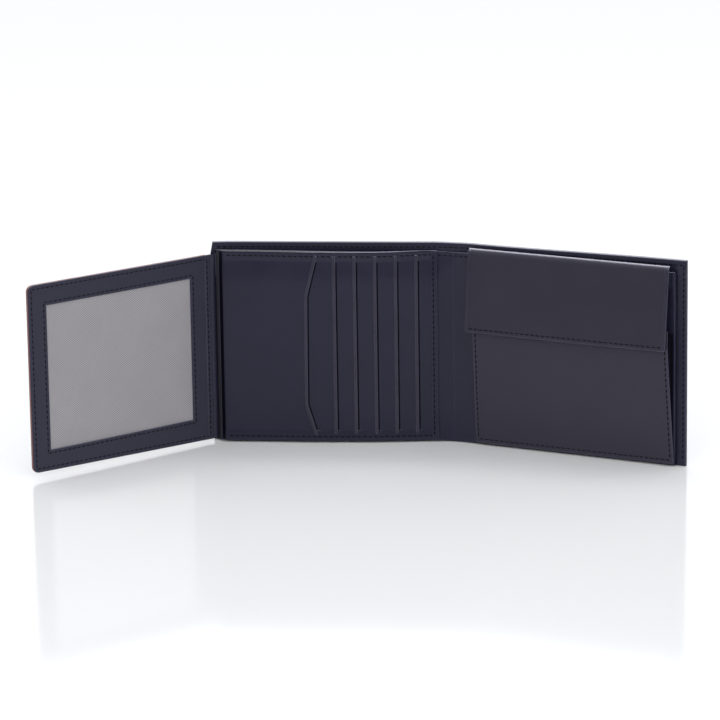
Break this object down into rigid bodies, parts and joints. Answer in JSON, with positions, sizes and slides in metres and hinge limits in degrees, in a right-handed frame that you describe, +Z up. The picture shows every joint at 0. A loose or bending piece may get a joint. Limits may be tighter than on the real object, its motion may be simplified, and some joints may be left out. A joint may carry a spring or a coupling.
{
  "type": "trifold wallet",
  "caption": "Trifold leather wallet standing half open, with card pockets, a flap with a mesh window, a note compartment and a coin pouch.",
  "frame": {"origin": "on the standing surface, under the middle of the wallet's outline at rest", "axes": "+X along the middle third towards the cover with the coin pouch, +Y away from the reader, +Z up"},
  "size_m": [0.2998, 0.0742, 0.097],
  "materials": {
    "leather": "satin",
    "leather_trim": "satin",
    "leather_pouch": "satin",
    "lining_cloth": "matte",
    "mesh": "matte",
    "magnet": "satin"
  },
  "bodies": {
    "centre": {"shell_centre": "leather", "shell_hem_centre": "leather_trim", "shell_lining_centre": "lining_cloth", "bill_wall_centre": "leather", "bill_wall_lining_centre": "lining_cloth", "seam_bottom_centre": "leather_trim", "seam_left": "leather_trim", "pocket_backing": "leather", "slot_strip_1": "leather_trim", "slot_strip_2": "leather_trim", "slot_strip_3": "leather_trim", "slot_strip_4": "leather_trim", "slot_strip_5": "leather_trim", "pocket_sheet_1": "lining_cloth", "pocket_sheet_2": "lining_cloth", "pocket_sheet_3": "lining_cloth", "pocket_sheet_4": "lining_cloth", "pocket_sheet_5": "lining_cloth", "front_pocket": "leather", "pocket_top_binding": "leather_trim", "pocket_bottom_binding": "leather_trim", "pocket_edge_binding": "leather_trim", "id_hinge_anchor": "leather_trim"},
    "spine": {"shell_spine": "leather", "shell_hem_spine": "leather_trim", "shell_lining_spine": "lining_cloth", "bill_wall_spine": "leather", "bill_wall_lining_spine": "lining_cloth", "seam_bottom_spine": "leather_trim"},
    "cover": {"shell_cover": "leather", "shell_hem_cover": "leather_trim", "shell_lining_cover": "lining_cloth", "bill_wall_cover": "leather", "bill_wall_lining_cover": "lining_cloth", "seam_bottom_cover": "leather_trim", "seam_right": "leather_trim", "pouch_front": "leather_pouch", "pouch_front_lining": "lining_cloth", "pouch_gusset_left": "lining_cloth", "pouch_gusset_right": "lining_cloth", "pouch_bottom_seam": "leather_pouch", "pouch_magnet": "magnet", "flap_tongue": "leather_pouch"},
    "coin_flap": {"flap_leather": "leather_pouch", "flap_lining": "lining_cloth", "flap_magnet": "magnet"},
    "window_flap": {"id_frame": "leather", "id_mesh": "mesh", "id_back": "leather", "id_seam": "leather_trim", "id_hinge_strip": "leather_trim"}
  },
  "joints": [
    {"name": "spine_fold", "type": "hinge", "parent": "centre", "child": "spine", "pos_m": [0.0339, 0.03538, 0], "axis": [0, 0, -1], "range_deg": [-10.6, 79.4]},
    {"name": "cover_fold", "type": "hinge", "parent": "spine", "child": "cover", "pos_m": [0.04865, 0.03262, 0], "axis": [0, 0, -1], "range_deg": [-10.6, 79.4]},
    {"name": "window_flap_hinge", "type": "hinge", "parent": "centre", "child": "window_flap", "pos_m": [-0.0719, 0.03009, 0], "axis": [0, 0, 1], "range_deg": [-41.7, 138.3]},
    {"name": "coin_flap_hinge", "type": "hinge", "parent": "cover", "child": "coin_flap", "pos_m": [0.09421, 0.01184, 0.0936], "axis": [-0.9323, 0.3616, 0], "range_deg": [0, 120]}
  ],
  "couplings": [
    {"joint": "cover_fold", "follows": "spine_fold", "ratio": 1}
  ]
}
